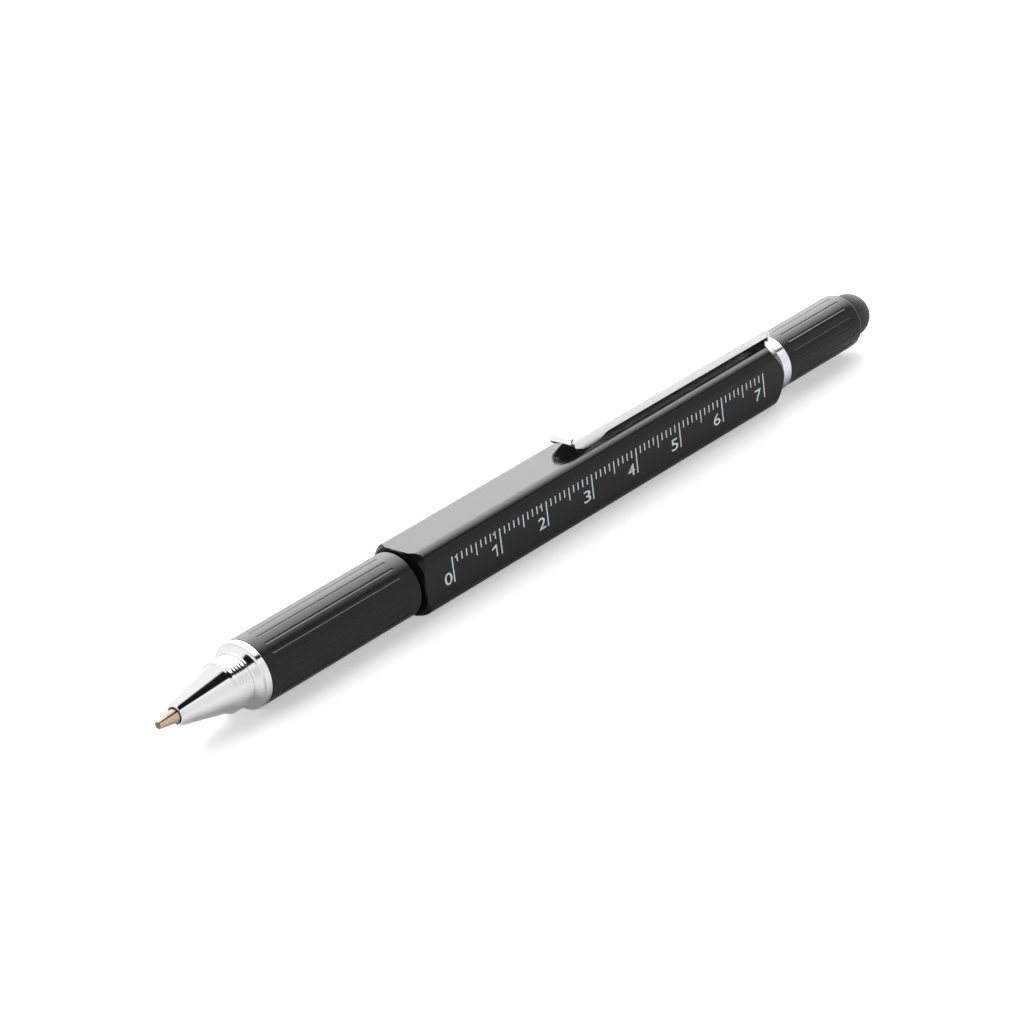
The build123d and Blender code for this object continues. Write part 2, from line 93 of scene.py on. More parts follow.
class Finish:  # one surface finish: a Principled shader and the patterns that feed it
    def __init__(self, name, colour, **constants):
        self.material = bpy.data.materials.new(name)
        self.material.use_nodes = True
        self.tree = self.material.node_tree
        self.shader = self.tree.nodes["Principled BSDF"]
        self.set("Base Color", (*colour, 1))
        for words, amount in constants.items():
            self.set(words.replace("_", " "), amount)
        self.where = self.add("ShaderNodeTexCoord", out="Object")

    def add(self, kind, settings=None, inputs=None, out=0):
        return addNode(self.tree, kind, settings, inputs, out)

    def set(self, name, part):
        if isinstance(part, Value):
            self.tree.links.new(part.socket, self.shader.inputs[name])
        else:
            self.shader.inputs[name].default_value = part

    def noise(self, x, y, z, detail, rough=0.55):
        cells = self.add("ShaderNodeMapping", None, {"Vector": self.where, "Scale": (x, y, z)})
        return self.add(
            "ShaderNodeTexNoise", None,
            {"Vector": cells, "Scale": 1.0, "Detail": detail, "Roughness": rough},
        )

    def blend(self, share, first, second):
        return self.add(
            "ShaderNodeMix", {"data_type": "RGBA"},
            {0: share, 6: (*first, 1), 7: (*second, 1)}, out=2,
        )

    def bump(self, height, distance):
        self.set("Normal", self.add(
            "ShaderNodeBump", None, {"Height": height, "Distance": distance, "Strength": 1.0}
        ))


# Finishes

print("finishes")
patterns = {  # noise cells per metre along X, Y and Z, its detail, and the roughness of that
    "haze": (260, 260, 260, 4),
    "grain": (5200, 9000, 9000, 3, 0.6),
    "cloud": (150, 240, 240, 3),
    "tarnish": (700, 700, 700, 4),
    "mouldSkin": (2600, 2600, 2600, 3),
    "mouldFlow": (90, 300, 300, 3),
    "rubberSkin": (4200, 4200, 4200, 4, 0.65),
    "rubberDust": (900, 900, 900, 5, 0.7),
    "ripple": (400, 120, 120, 2),
    "inkPatches": (6500, 6500, 6500, 4, 0.7),
}
turningWidth = 60  # noise cells per metre across a turned ring's marks
uneven = {  # how much each pattern adds to the roughness
    "tarnish": 0.08, "mouldSkin": 0.18, "rubberSkin": 0.2, "ripple": 0.03, "inkPatches": 0.25,
}


def polishedChrome(name, look):
    finish = Finish(name, look["colour"], Metallic=1.0)
    haze = finish.noise(*patterns["haze"])
    lines = finish.noise(*look["lines"], 3, 0.7)
    finish.set("Roughness", look["rough"] + haze * look["haze"] + lines * look["brushed"])
    finish.bump(lines, look["lineDepth"])
    return finish.material


def anodised(name, look):
    finish = Finish(name, look["colour"], IOR=look["ior"], Specular_IOR_Level=look["sheen"])
    grain = finish.noise(*patterns["grain"])
    drawn = finish.noise(*look["lines"], 4, 0.65)
    cloud = finish.noise(*patterns["cloud"])
    finish.set("Base Color", finish.blend(cloud, look["colour"], look["paler"]))
    finish.set("Roughness", look["rough"] + grain * look["grain"] + drawn * look["brushed"])
    finish.bump(grain + drawn * 1.5, look["depth"])
    return finish.material


def turnedMetal(name, look):
    finish = Finish(name, look["colour"], Metallic=1.0)
    rings = finish.noise(look["rings"], turningWidth, turningWidth, 3, 0.7)
    tarnish = finish.noise(*patterns["tarnish"])
    finish.set("Base Color", finish.blend(tarnish, look["colour"], look["darker"]))
    finish.set(
        "Roughness", look["rough"] + rings * look["ringRough"] + tarnish * uneven["tarnish"]
    )
    finish.bump(rings, look["depth"])
    return finish.material


def mouldedPlastic(name, look):
    finish = Finish(name, look["colour"], IOR=1.5)
    skin = finish.noise(*patterns["mouldSkin"])
    flow = finish.noise(*patterns["mouldFlow"])
    finish.set("Base Color", finish.blend(flow, look["colour"], look["darker"]))
    finish.set("Roughness", look["rough"] + skin * uneven["mouldSkin"])
    finish.bump(skin, look["depth"])
    return finish.material


def softRubber(name, look):
    finish = Finish(name, look["colour"], IOR=1.48)
    skin = finish.noise(*patterns["rubberSkin"])
    dust = finish.noise(*patterns["rubberDust"])
    finish.set("Base Color", finish.blend(dust, look["colour"], look["dusty"]))
    finish.set("Roughness", look["rough"] + skin * uneven["rubberSkin"])
    finish.bump(skin, look["depth"])
    return finish.material


def clearPiece(name, look):
    finish = Finish(
        name, look["colour"], IOR=look["ior"], Transmission_Weight=look["clear"]
    )
    ripple = finish.noise(*patterns["ripple"])
    finish.set("Roughness", look["rough"] + ripple * uneven["ripple"])
    finish.bump(ripple, look["depth"])
    return finish.material


def printedInk(name, look):
    finish = Finish(name, look["colour"], IOR=1.45)
    patches = finish.noise(*patterns["inkPatches"])
    finish.set("Base Color", finish.blend(patches, look["colour"], look["thin"]))
    finish.set("Roughness", look["rough"] + patches * uneven["inkPatches"])
    finish.bump(patches, look["depth"])
    return finish.material


looks = {
    "chrome": (polishedChrome, {
        "colour": (0.88, 0.89, 0.91), "rough": 0.035, "haze": 0.05, "brushed": 0.03,
        "lines": (5200, 90, 90), "lineDepth": 0.0000006,
    }),
    "clip_chrome": (polishedChrome, {
        "colour": (0.93, 0.935, 0.94), "rough": 0.2, "haze": 0.06, "brushed": 0.05,
        "lines": (120, 5200, 5200), "lineDepth": 0.0000006,
    }),
    "satin_black": (anodised, {
        "colour": (0.0075, 0.0072, 0.0071), "paler": (0.0115, 0.011, 0.0108), "ior": 1.5, "sheen": 0.25,
        "lines": (260, 6000, 6000), "rough": 0.15, "grain": 0.09, "brushed": 0.06, "depth": 0.0000012,
    }),
    "gloss_black": (anodised, {
        "colour": (0.0075, 0.0068, 0.0065), "paler": (0.0115, 0.0106, 0.0101), "ior": 1.5, "sheen": 0.24,
        "lines": (180, 5200, 5200), "rough": 0.1, "grain": 0.06, "brushed": 0.05, "depth": 0.0000008,
    }),
    # a darker, duller copy of the gloss black for the front bushing: partly its own matt black, partly
    # painted shade for the shadow it sits in
    "bushing_black_shaded": (anodised, {
        "colour": (0.005, 0.005, 0.005), "paler": (0.008, 0.008, 0.008), "ior": 1.5, "sheen": 0.06,
        "lines": (900, 900, 900), "rough": 0.4, "grain": 0.12, "brushed": 0.05, "depth": 0.0000015,
    }),
    "bronze": (turnedMetal, {
        "colour": (0.78, 0.62, 0.47), "darker": (0.6, 0.43, 0.3), "rings": 9000,
        "rough": 0.12, "ringRough": 0.14, "depth": 0.000002,
    }),
    "tungsten": (turnedMetal, {
        "colour": (0.42, 0.33, 0.3), "darker": (0.2, 0.14, 0.13), "rings": 4000,
        "rough": 0.2, "ringRough": 0.1, "depth": 0.0000004,
    }),
    "refill_metal": (turnedMetal, {
        "colour": (0.75, 0.73, 0.69), "darker": (0.6, 0.57, 0.52), "rings": 1200,
        "rough": 0.22, "ringRough": 0.12, "depth": 0.000001,
    }),
    "brass": (turnedMetal, {
        "colour": (0.82, 0.62, 0.3), "darker": (0.62, 0.43, 0.18), "rings": 5200,
        "rough": 0.2, "ringRough": 0.2, "depth": 0.000003,
    }),
    "pin_steel": (turnedMetal, {
        "colour": (0.68, 0.68, 0.69), "darker": (0.5, 0.5, 0.52), "rings": 3600,
        "rough": 0.18, "ringRough": 0.16, "depth": 0.000001,
    }),
    "magnet_nickel": (turnedMetal, {
        "colour": (0.72, 0.7, 0.66), "darker": (0.56, 0.54, 0.5), "rings": 800,
        "rough": 0.1, "ringRough": 0.08, "depth": 0.000001,
    }),
    "bit_steel": (turnedMetal, {
        "colour": (0.56, 0.56, 0.57), "darker": (0.36, 0.36, 0.38), "rings": 5200,
        "rough": 0.26, "ringRough": 0.2, "depth": 0.000003,
    }),
    "ink_blue": (mouldedPlastic, {
        "colour": (0.008, 0.012, 0.12), "darker": (0.004, 0.006, 0.07), "rough": 0.08, "depth": 0.000001,
    }),
    "sleeve_plastic": (mouldedPlastic, {
        "colour": (0.025, 0.025, 0.027), "darker": (0.014, 0.014, 0.015), "rough": 0.35, "depth": 0.000004,
    }),
    "housing_plastic": (mouldedPlastic, {
        "colour": (0.66, 0.66, 0.63), "darker": (0.56, 0.55, 0.51), "rough": 0.38, "depth": 0.000004,
    }),
    "vial_plug": (mouldedPlastic, {
        "colour": (0.8, 0.8, 0.77), "darker": (0.7, 0.7, 0.65), "rough": 0.35, "depth": 0.000003,
    }),
    "plug_plastic": (mouldedPlastic, {
        "colour": (0.04, 0.04, 0.042), "darker": (0.025, 0.025, 0.027), "rough": 0.4, "depth": 0.000004,
    }),
    "ring_rubber": (softRubber, {
        "colour": (0.022, 0.022, 0.022), "dusty": (0.04, 0.04, 0.039), "rough": 0.5, "depth": 0.000006,
    }),
    "dome_rubber": (softRubber, {
        "colour": (0.026, 0.026, 0.027), "dusty": (0.04, 0.04, 0.04), "rough": 0.5, "depth": 0.000008,
    }),
    "vial_clear": (clearPiece, {
        "colour": (0.97, 0.98, 0.98), "ior": 1.49, "clear": 1.0, "rough": 0.0, "depth": 0.000001,
    }),
    "level_green": (clearPiece, {
        "colour": (0.74, 0.95, 0.1), "ior": 1.33, "clear": 0.35, "rough": 0.02, "depth": 0.0000005,
    }),
    "bubble_clear": (clearPiece, {
        "colour": (0.93, 1.0, 0.75), "ior": 1.1, "clear": 0.8, "rough": 0.0, "depth": 0.0000005,
    }),
    "ruler_print": (printedInk, {
        "colour": (0.78, 0.88, 0.95), "thin": (0.66, 0.76, 0.84), "rough": 0.45, "depth": 0.000002,
    }),
}
finishes = {name: make(name, look) for name, (make, look) in looks.items()}
slotOf = {part["node"]: part["material_slot"] for part in frame["record"]["subparts"]}
bodyOf = {
    node: body for body, nodes in frame["record"]["behaviour"]["bodies"].items() for node in nodes
}


# Pieces

def settle(piece, node):
    # a finished piece rides on its node's body and stands for the node
    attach(piece, bodyOf[node])
    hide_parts(node)
    return piece


def turnPiece(node, look):
    # a closed profile of (place, radius, rounding) corners, turned about the pen's axis,
    # with the true normals of a lathe's surface
    name = node + "_turned"
    corners = look["profile"]
    rings = []  # (x, r, normal before, normal after)
    count = len(corners)
    for spot in range(count):
        before, here, after = (Vector(corners[(spot + way) % count][:2]) for way in (-1, 0, 1))
        rounding = corners[spot][2] if len(corners[spot]) > 2 else 0
        inward, outward = (here - before).normalized(), (after - here).normalized()
        normalIn = Vector((-inward.y, inward.x))
        normalOut = Vector((-outward.y, outward.x))
        if not rounding:
            rings.append((here, normalIn, normalOut))
            continue
        turn = inward.angle_signed(outward)
        reach = rounding * math.tan(abs(turn) / 2)
        side = -1 if turn > 0 else 1
        centre = here - inward * reach + normalIn * rounding * side
        for step in range(look["roundSteps"] + 1):
            tilt = -turn * step / look["roundSteps"]
            normal = Matrix.Rotation(tilt, 2) @ normalIn
            rings.append((centre - normal * rounding * side, normal, normal))
    sides = look["sides"]
    mesh = bmesh.new()
    grid = []
    for spot, normalIn, normalOut in rings:
        ring = []
        for turn in range(sides if spot.y > 1e-6 else 1):
            angle = 2 * math.pi * turn / sides
            ring.append(mesh.verts.new(place(
                spot.x, spot.y * math.cos(angle), spot.y * math.sin(angle)
            )))
        grid.append(ring)
    faceNormals = []
    for number in range(len(rings)):
        first, second = grid[number], grid[(number + 1) % len(rings)]
        if len(first) == 1 and len(second) == 1:
            continue
        normals = (rings[number][2], rings[(number + 1) % len(rings)][1])
        for turn in range(sides):
            later = (turn + 1) % sides
            loop = [(first[turn % len(first)], normals[0], turn)]
            if len(first) > 1:
                loop.append((first[later], normals[0], turn + 1))
            loop.append((second[later % len(second)], normals[1], turn + 1))
            if len(second) > 1:
                loop.append((second[turn], normals[1], turn))
            mesh.faces.new([corner[0] for corner in loop])
            for _, normal, around in loop:
                angle = 2 * math.pi * around / sides
                faceNormals.append((
                    normal.x, normal.y * math.cos(angle), normal.y * math.sin(angle)
                ))
    shape = bpy.data.meshes.new(name)
    mesh.to_mesh(shape)
    mesh.free()
    shape.polygons.foreach_set("use_smooth", [True] * len(shape.polygons))
    shape.normals_split_custom_set(faceNormals)
    piece = bpy.data.objects.new(name, shape)
    bpy.context.collection.objects.link(piece)
    shape.materials.append(finishes[slotOf[node]])
    return settle(piece, node)


copied = {"merge": 2e-7, "sharpAngle": 24, "skinDepth": 0.02, "skinFacing": 0.97, "flatWeight": 80}


def copyPiece(node, section=None, finish=None):
    # a CAD node's own shape, merged and with smooth normals
    shape = frame["nodes"][node].data.copy()
    shape.name = node + "_skin"
    mesh = bmesh.new()
    mesh.from_mesh(shape)
    bmesh.ops.remove_doubles(mesh, verts=mesh.verts, dist=copied["merge"])
    mesh.to_mesh(shape)
    mesh.free()
    if shape.has_custom_normals:
        shape.attributes.remove(shape.attributes["custom_normal"])
    shape.polygons.foreach_set("use_smooth", [True] * len(shape.polygons))
    shape.set_sharp_from_angle(angle=math.radians(copied["sharpAngle"]))
    shape.materials.clear()
    shape.materials.append(finishes[finish or slotOf[node]])
    piece = bpy.data.objects.new(node + "_skin", shape)
    bpy.context.collection.objects.link(piece)
    if section:
        # each normal on the skin points away from the square inside the corner roundings,
        # which on a round tube is a point on the axis
        normals = []
        shape.update()
        corners = shape.corner_normals
        core = (section["half"] - section["corner"]) * mm
        for face in shape.polygons:
            for number in face.loop_indices:
                spot = shape.vertices[shape.loops[number].vertex_index].co
                y, z = spot.y, spot.z - pen["axisHeight"] * mm
                out = Vector((0, y - max(-core, min(core, y)), z - max(-core, min(core, z))))
                depth, out = abs(out.length / mm - section["corner"]), out.normalized()
                onSkin = depth < copied["skinDepth"] and face.normal.dot(out) > copied["skinFacing"]
                normals.append(out if onSkin else Vector(corners[number].vector))
        shape.normals_split_custom_set([tuple(normal) for normal in normals])
    else:
        weigh = piece.modifiers.new("weigh", "WEIGHTED_NORMAL")
        weigh.keep_sharp = True
        weigh.weight = copied["flatWeight"]
        plain = bpy.data.meshes.new_from_object(
            piece.evaluated_get(bpy.context.evaluated_depsgraph_get())
        )
        piece.modifiers.clear()
        piece.data = plain
    return settle(piece, node)


print("turned pieces")

nose = {
    "sides": 180, "roundSteps": 4, "mouth": -50.1, "coneFront": -49.55, "coneRear": -41.9,
    "collar": -41.6, "ring": -38.9, "bore": 1.235, "lip": 1.45, "lipRound": 0.2,
    "coneFrontRadius": 1.72, "coneRearRadius": 3.38, "coneRound": 0.06, "collarRadius": 3.72,
    "collarRound": 0.08, "ringRound": 0.05, "grooves": 4, "groovePitch": 0.5, "grooveWidth": 0.3,
    "grooveDepth": 0.16, "grooveInset": 0.45, "grooveEdge": 0.02, "grooveFloor": 0.04,
    "threadStart": -36.1, "threadEnd": -28.5, "pitch": 0.8, "crest": 3.3, "crestRound": 0.05,
    "root": 3.05, "rootRound": 0.06, "chamber": 2.1, "chamberFront": -43.235, "boreEnd": -44.1,
}


def noseProfile(size):
    mouth, bore, collarRadius = size["mouth"], size["bore"], size["collarRadius"]
    profile = [
        (mouth, bore), (mouth, size["lip"], size["lipRound"]),
        (size["coneFront"], size["coneFrontRadius"], size["lipRound"]),
        (size["coneRear"], size["coneRearRadius"], size["coneRound"]),
        (size["collar"], collarRadius, size["collarRound"]),
    ]
    for groove in range(size["grooves"]):
        start = size["collar"] + size["grooveInset"] + groove * size["groovePitch"]
        floor = collarRadius - size["grooveDepth"]
        profile += [
            (start, collarRadius, size["grooveEdge"]),
            (start + size["grooveWidth"] / 2, floor, size["grooveFloor"]),
            (start + size["grooveWidth"], collarRadius, size["grooveEdge"]),
        ]
    profile += [(size["ring"], collarRadius, size["ringRound"]), (size["ring"], size["root"])]
    turns = int((size["threadEnd"] - size["threadStart"]) / size["pitch"])
    for turn in range(turns):
        start = size["threadStart"] + turn * size["pitch"]
        profile += [
            (start, size["root"], size["rootRound"]),
            (start + size["pitch"] / 2, size["crest"], size["crestRound"]),
        ]
    profile += [
        (size["threadEnd"], size["root"], size["rootRound"]), (size["threadEnd"], size["chamber"]),
        (size["chamberFront"], size["chamber"]), (size["boreEnd"], bore),
    ]
    return profile


def ballProfile(size):
    # half a circle from pole to pole
    rings, radius = size["rings"], size["radius"]
    return [
        (
            size["x"] - radius * math.cos(math.pi * step / rings),
            radius * math.sin(math.pi * step / rings) if 0 < step < rings else 0,
        )
        for step in range(rings + 1)
    ]


def domeProfile(size):
    # an outer half ball, a straight skirt in the cap and a hollow inside
    def arc(radius, first, last, steps):
        angles = [first + (last - first) * step / steps for step in range(steps + 1)]
        return [
            (size["x"] + radius * math.cos(angle), max(radius * math.sin(angle), 0))
            for angle in angles
        ]

    front = math.acos((size["front"] - size["x"]) / size["radius"])
    outer = arc(size["radius"], front, 0, size["outerSteps"])
    inner = arc(size["hollow"], 0, math.pi / 2 + size["hollowPast"], size["innerSteps"])
    skirt = [
        (size["skirtFront"], size["skirtBore"]), (size["skirtFront"], size["skirt"]),
        (size["front"], size["skirt"]),
    ]
    return skirt + outer + inner[:-1] + [(size["x"] - size["hollowFoot"], size["skirtBore"])]


frontRing = {
    "sides": 180, "roundSteps": 5, "profile": [
        (-38.9, 3.34), (-38.9, 3.9, 0.1), (-38.6, 3.9, 0.12), (-37.9, 4.45, 0.5),
        (-37.72, 4.85, 0.1), (-36.7, 4.85, 0.1), (-36.7, 3.34),
    ],
}
rearRing = {
    "sides": 180, "roundSteps": 5, "profile": [
        (75.0, 3.22), (75.0, 4.44, 0.14), (76.9, 4.44, 0.14), (76.9, 3.22),
    ],
}
trimRing = {
    "sides": 160, "roundSteps": 5, "profile": [
        (95.0, 3.0), (95.0, 3.7, 0.12), (95.35, 3.7, 0.12), (95.35, 3.0),
    ],
}
refillTip = {  # the last four corners are the ball's round seat
    "sides": 96, "roundSteps": 4, "profile": [
        (-53.0, 0.52), (-53.2, 0.48), (-53.2, 0.58, 0.04), (-51.9, 0.76, 0.4), (-49.55, 1.12, 0.03),
        (-49.55, 1.175, 0.03), (-49.4, 1.175, 0.03), (-49.4, 0.955), (-46.4, 0.955), (-46.4, 0.3),
        (-52.575, 0.3), (-52.632, 0.368), (-52.74, 0.45), (-52.865, 0.502),
    ],
}
ball = {"sides": 48, "roundSteps": 1, "x": -53.0, "radius": 0.5, "rings": 24}
dome = {
    "sides": 128, "roundSteps": 3, "x": 97.0, "radius": 3.4, "hollow": 2.5, "front": 95.35,
    "skirtFront": 94.0, "skirt": 2.98, "skirtBore": 2.22, "outerSteps": 28, "innerSteps": 14,
    "hollowPast": 0.3, "hollowFoot": 0.9,
}
nose["profile"] = noseProfile(nose)
ball["profile"] = ballProfile(ball)
dome["profile"] = domeProfile(dome)
for node, look in (
    ("nose_cone", nose), ("front_ring", frontRing), ("rear_ring", rearRing), ("trim_ring", trimRing),
    ("refill_tip", refillTip), ("writing_ball", ball), ("stylus_dome", dome),
):
    turnPiece(node, look)

print("copied pieces")
copyPiece("front_grip", section={"half": 4.87, "corner": 4.87})
copyPiece("rear_cap", section={"half": 4.32, "corner": 4.32})
copyPiece("barrel", section={"half": 4.765, "corner": 2.05})
# the bushing takes a darker copy of the gloss black, partly its matt finish and partly painted shade
copyPiece("front_bushing", finish="bushing_black_shaded")
for node in (
    "clip", "screwdriver_bit", "bit_holder", "grip_insert", "cap_insert",
    "cam_sleeve", "friction_ring", "mechanism_housing", "housing_plug", "refill_carrier", "cam_pin",
    "refill_tube", "ink", "level_vial", "level_plugs", "level_fluid", "level_bubble", "bit_magnet",
    "stylus_plug",
):
    copyPiece(node)

print("ruler")
ruler = {
    "count": 71, "spacing": 1.0, "halfEvery": 5, "longEvery": 10, "zero": -0.486, "face": -4.765,
    "thickness": 0.012, "lineWidth": 0.205, "longWidth": 0.235, "short": 1.15, "half": 1.95,
    "long": 3.85, "top": 2.39, "skew": -0.004, "figures": 8, "figureHeight": 1.78,
    "figureWidth": 1.5, "figureBold": 0.002, "figureStart": -1.92, "figurePitch": 9.955,
    "figureLift": 0.05, "curveSteps": 5, "merge": 1e-7, "flags": (1, 9, 19), "flagReach": 0.42,
    "flagWidth": 0.2, "flagDrop": 0.3, "oneWidth": 1.08, "oneStem": 0.25, "oneFlagFoot": 0.66,
    "oneFlagHead": 0.8,
}


def growTree(tree, name, kind):
    tree.interface.new_socket(name=name, in_out="INPUT", socket_type=kind)


def rulerTicks(size):
    # one bar for each millimetre, longer at 5 and at 10
    tree = bpy.data.node_groups.new("ruler ticks", "GeometryNodeTree")
    tree.interface.new_socket(name="Geometry", in_out="OUTPUT", socket_type="NodeSocketGeometry")
    growTree(tree, "Count", "NodeSocketInt")
    for name in ("Spacing", "Line Width", "Long Width", "Thickness", "Short", "Half", "Long", "Skew"):
        growTree(tree, name, "NodeSocketFloat")
    growTree(tree, "Start", "NodeSocketVector")
    growTree(tree, "Material", "NodeSocketMaterial")
    source = tree.nodes.new("NodeGroupInput")
    inlet = lambda name: Value(tree, source.outputs[name])
    index = addNode(tree, "GeometryNodeInputIndex")
    isLong = (index % size["longEvery"]) < 0.5
    isHalf = ((index % size["halfEvery"]) < 0.5) - isLong
    halfMore, longMore = inlet("Half") - inlet("Short"), inlet("Long") - inlet("Short")
    length = inlet("Short") + isHalf * halfMore + isLong * longMore
    width = inlet("Line Width") + isLong * (inlet("Long Width") - inlet("Line Width"))
    along = index * inlet("Spacing")
    offset = addNode(tree, "ShaderNodeCombineXYZ", None, {
        "X": along, "Z": along * inlet("Skew") - length / 2,
    })
    line = addNode(tree, "GeometryNodeMeshLine", {"mode": "OFFSET"}, {
        "Count": inlet("Count"), "Start Location": inlet("Start"), "Offset": (0, 0, 0),
    })
    spots = addNode(tree, "GeometryNodeSetPosition", None, {"Geometry": line, "Offset": offset})
    bar = addNode(tree, "GeometryNodeMeshCube", None, {"Size": (1, 1, 1)})
    scale = addNode(tree, "ShaderNodeCombineXYZ", None, {
        "X": width, "Y": inlet("Thickness"), "Z": length,
    })
    ticks = addNode(tree, "GeometryNodeInstanceOnPoints", None, {
        "Points": spots, "Instance": bar, "Scale": scale,
    })
    solid = addNode(tree, "GeometryNodeRealizeInstances", None, {"Geometry": ticks})
    painted = addNode(tree, "GeometryNodeSetMaterial", None, {
        "Geometry": solid, "Material": inlet("Material"),
    })
    result = tree.nodes.new("NodeGroupOutput")
    tree.links.new(painted.socket, result.inputs["Geometry"])

    holder = bpy.data.objects.new("ruler_ticks", bpy.data.meshes.new("ruler_ticks"))
    bpy.context.collection.objects.link(holder)
    modifier = holder.modifiers.new("ticks", "NODES")
    modifier.node_group = tree
    half = size["thickness"] / 2
    values = {
        "Count": size["count"], "Spacing": size["spacing"] * mm, "Line Width": size["lineWidth"] * mm,
        "Long Width": size["longWidth"] * mm, "Thickness": size["thickness"] * mm,
        "Short": size["short"] * mm, "Half": size["half"] * mm, "Long": size["long"] * mm,
        "Skew": size["skew"], "Start": tuple(place(size["zero"], size["face"] - half, size["top"])),
        "Material": finishes["ruler_print"],
    }
    for item in tree.interface.items_tree:
        if item.in_out == "INPUT":
            modifier[item.identifier] = values[item.name]
    plain = bpy.data.meshes.new_from_object(
        holder.evaluated_get(bpy.context.evaluated_depsgraph_get())
    )
    holder.modifiers.clear()
    holder.data = plain
    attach(holder, "barrel")
    return holder


def printPatch(mesh, size, corners):
    # a flat patch of print from its (x, z) corners, with its thickness down to the barrel
    front = [mesh.verts.new(place(x, size["face"] - size["thickness"], z)) for x, z in corners]
    back = [mesh.verts.new(place(x, size["face"], z)) for x, z in corners]
    mesh.faces.new(front)
    mesh.faces.new(back[::-1])
    for spot in range(len(corners)):
        after = (spot + 1) % len(corners)
        mesh.faces.new((front[after], front[spot], back[spot], back[after]))


def rulerFigures(size):
    # plain numbers 0 to 7, each on the tip side of its long tick, and the print's three small flags
    mesh = bmesh.new()
    for number in range(size["figures"]):
        tick = number * size["longEvery"]
        bottom = size["top"] + size["skew"] * tick - size["long"] + size["figureLift"]
        start = size["zero"] + number * size["figurePitch"] + size["figureStart"]
        if number == 1:
            high, wide = size["figureHeight"], size["oneWidth"]
            stem = wide - size["oneStem"]
            foot, head = high * size["oneFlagFoot"], high * size["oneFlagHead"]
            outline = (
                (stem, 0), (wide, 0), (wide, high), (stem, high), (0, head), (0, foot), (stem, head),
            )
            printPatch(mesh, size, [(start + x, bottom + z) for x, z in outline])
            continue
        words = bpy.data.curves.new("figure", "FONT")
        words.body = str(number)
        words.extrude = size["thickness"] / 2
        words.offset = size["figureBold"]
        words.resolution_u = size["curveSteps"]
        drawn = bpy.data.objects.new("figure", words)
        bpy.context.collection.objects.link(drawn)
        flat = bpy.data.meshes.new_from_object(
            drawn.evaluated_get(bpy.context.evaluated_depsgraph_get())
        )
        bpy.data.objects.remove(drawn)
        high = max(vertex.co.y for vertex in flat.vertices)
        low = min(vertex.co.y for vertex in flat.vertices)
        left = min(vertex.co.x for vertex in flat.vertices)
        wide = max(vertex.co.x for vertex in flat.vertices) - left
        for vertex in flat.vertices:
            x = start + (vertex.co.x - left) * size["figureWidth"] / wide
            z = bottom + (vertex.co.y - low) * size["figureHeight"] / (high - low)
            vertex.co = place(x, size["face"] - size["thickness"] / 2 - vertex.co.z, z)
        mesh.from_mesh(flat)
    for tick in size["flags"]:
        x = size["zero"] + tick
        z = size["top"] + size["skew"] * tick - size["flagDrop"]
        printPatch(mesh, size, [
            (x - size["flagReach"], z - size["flagWidth"]), (x, z), (x, z + size["flagWidth"]),
            (x - size["flagReach"], z),
        ])
    bmesh.ops.remove_doubles(mesh, verts=mesh.verts, dist=size["merge"])
    bmesh.ops.recalc_face_normals(mesh, faces=mesh.faces)
    shape = bpy.data.meshes.new("ruler_figures")
    mesh.to_mesh(shape)
    mesh.free()
    shape.materials.append(finishes["ruler_print"])
    piece = bpy.data.objects.new("ruler_figures", shape)
    bpy.context.collection.objects.link(piece)
    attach(piece, "barrel")
    return piece


rulerTicks(ruler)
rulerFigures(ruler)

# Stage

print("stage")
floorLook = {
    "half": 1.5, "colour": 0.7, "rough": 0.25, "ior": 1.4, "sheen": 0.2, "lift": 0.42,
    "mirrorLift": 0.03,
}
floorMesh = bpy.data.meshes.new("floor")
side = floorLook["half"]
floorCorners = [(-side, -side, 0), (side, -side, 0), (side, side, 0), (-side, side, 0)]
floorMesh.from_pydata(floorCorners, [], [(0, 1, 2, 3)])
floor = bpy.data.objects.new("floor", floorMesh)
bpy.context.collection.objects.link(floor)
floorFinish = Finish(
    "floor paper", (floorLook["colour"],) * 3, Roughness=floorLook["rough"],
    IOR=floorLook["ior"], Specular_IOR_Level=floorLook["sheen"],
)
seen = floorFinish.add("ShaderNodeLightPath", out="Is Camera Ray")
glossy = floorFinish.add("ShaderNodeLightPath", out="Is Glossy Ray")
through = floorFinish.add("ShaderNodeLightPath", out="Is Transmission Ray")
mirrored = (glossy + through) * floorLook["mirrorLift"]
floorFinish.set("Emission Color", (1, 1, 1, 1))
floorFinish.set("Emission Strength", seen * floorLook["lift"] + mirrored)
floorMesh.materials.append(floorFinish.material)

light = {  # levels, and where each edge starts and ends: degrees, or shares of the direction
    "room": 1.0, "dark": 0.01, "boxTop": 7.0, "boxFoot": 3.0, "front": -0.1, "low": 0.16,
    "boxAround": (65, 101), "boxHeading": (54, 66), "boxFootEdge": (0, 0.06),
    "boxEast": (0.42, 0.58), "boxRise": (0.17, 0.52), "cardEast": (0.3, 0.66),
    "cardTops": (96, 65), "cardBottom": (49, 55), "cardEdge": (-10, 2), "cardFoot": (0, 0.2),
    "frontEast": (0.1, -0.5), "frontUp": (0.3, 0.7), "lowBottom": (-12, 4), "lowTop": (30, 48),
}
world = bpy.data.worlds.new("studio")
bpy.context.scene.world = world
world.use_nodes = True
worldTree = world.node_tree
background = worldTree.nodes["Background"]
toward = addNode(worldTree, "ShaderNodeTexCoord", out="Generated")
parts = worldTree.nodes.new("ShaderNodeSeparateXYZ")
worldTree.links.new(toward.socket, parts.inputs[0])
east, north, up = (Value(worldTree, parts.outputs[number]) for number in range(3))
heading = north.math("ARCTAN2", north, east) * (180 / math.pi)


def ramp(part, low, high, first=0.0, last=1.0, curve="SMOOTHSTEP"):
    return addNode(worldTree, "ShaderNodeMapRange", {"interpolation_type": curve}, {
        "Value": part, "From Min": low, "From Max": high, "To Min": first, "To Max": last,
    })


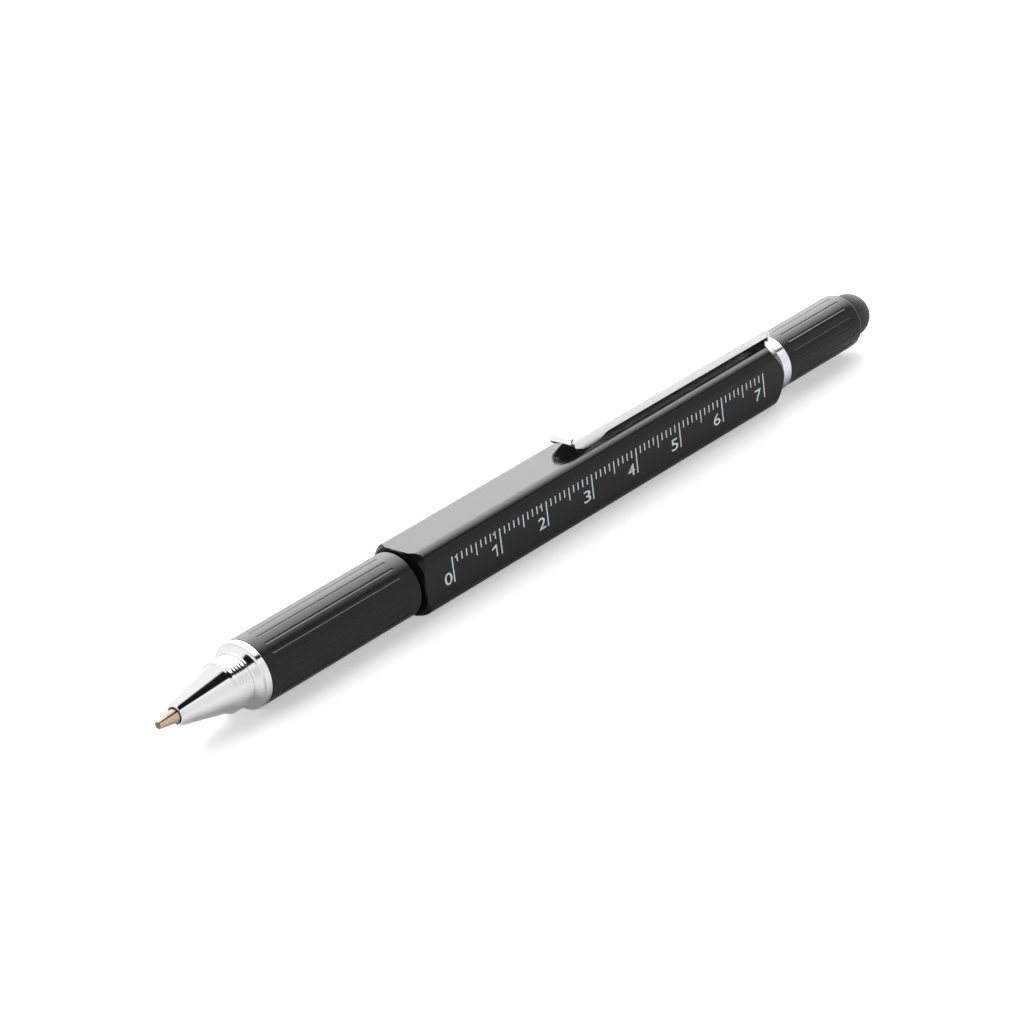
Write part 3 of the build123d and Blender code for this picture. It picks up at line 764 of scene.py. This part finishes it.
# around is the angle up from the ruler's side, over the pen. A tall softbox stands behind the
# stylus end, brightest at its top, and a narrow black card hangs on its near side, along the
# pen. The room is a little darker in front of the tip and low on the ruler's side.
around = up.math("ARCTAN2", up, north * -1) * (180 / math.pi)
behind = ramp(around, *light["boxAround"], curve="LINEAR") * ramp(heading, *light["boxHeading"], 1, 0)
behind = behind * ramp(up, *light["boxFootEdge"])
box = behind * ramp(east, *light["boxEast"])
boxLevel = ramp(up, *light["boxRise"], light["boxFoot"], light["boxTop"], "LINEAR")
cardTop = ramp(east, *light["cardEast"], *light["cardTops"], "LINEAR")
card = ramp(around, *light["cardBottom"]) * ramp(around - cardTop, *light["cardEdge"], 1, 0)
card = card * ramp(up, *light["cardFoot"])
front = ramp(east, *light["frontEast"]) * ramp(up, *light["frontUp"], 1, 0)
low = ramp(around, *light["lowBottom"]) * ramp(around, *light["lowTop"], 1, 0)
room = light["room"] + front * light["front"] - low * light["low"]
room = room * (1 - card) + card * light["dark"]
room = room * (1 - box) + box * boxLevel
rays = worldTree.nodes.new("ShaderNodeLightPath")
cameraRay = Value(worldTree, rays.outputs["Is Camera Ray"])
shown = room * (1 - cameraRay) + cameraRay
worldTree.links.new(shown.socket, background.inputs["Strength"])
background.inputs["Color"].default_value = (1, 1, 1, 1)

# Camera

print("camera")
shot = {
    "azimuth": 0.8071, "elevation": 0.4292, "roll": -0.1254, "focal": 3983.53, "frame": 1024,
    "depth": 549.4988, "zero": (430.4433, 563.7119), "sensor": 36, "near": 0.05, "far": 20,
}
ahead = Vector((
    math.sin(shot["azimuth"]) * math.cos(shot["elevation"]),
    math.cos(shot["azimuth"]) * math.cos(shot["elevation"]),
    -math.sin(shot["elevation"]),
))
levelRight = Vector((math.cos(shot["azimuth"]), -math.sin(shot["azimuth"]), 0))
levelUp = levelRight.cross(ahead)
right = math.cos(shot["roll"]) * levelRight + math.sin(shot["roll"]) * levelUp
above = -math.sin(shot["roll"]) * levelRight + math.cos(shot["roll"]) * levelUp
across = (shot["zero"][0] - shot["frame"] / 2) / shot["focal"] * shot["depth"]
height = -(shot["zero"][1] - shot["frame"] / 2) / shot["focal"] * shot["depth"]
eye = -(right * across + above * height + ahead * shot["depth"])
lens = bpy.data.cameras.new("camera")
lens.sensor_width = shot["sensor"]
lens.lens = shot["focal"] / shot["frame"] * shot["sensor"]
lens.clip_start, lens.clip_end = shot["near"], shot["far"]
camera = bpy.data.objects.new("camera", lens)
turn = Matrix((right, above, -ahead)).transposed()
camera.matrix_world = Matrix.Translation(place(*eye)) @ turn.to_4x4()
bpy.context.collection.objects.link(camera)
bpy.context.scene.camera = camera
bpy.context.scene.view_settings.view_transform = "Standard"
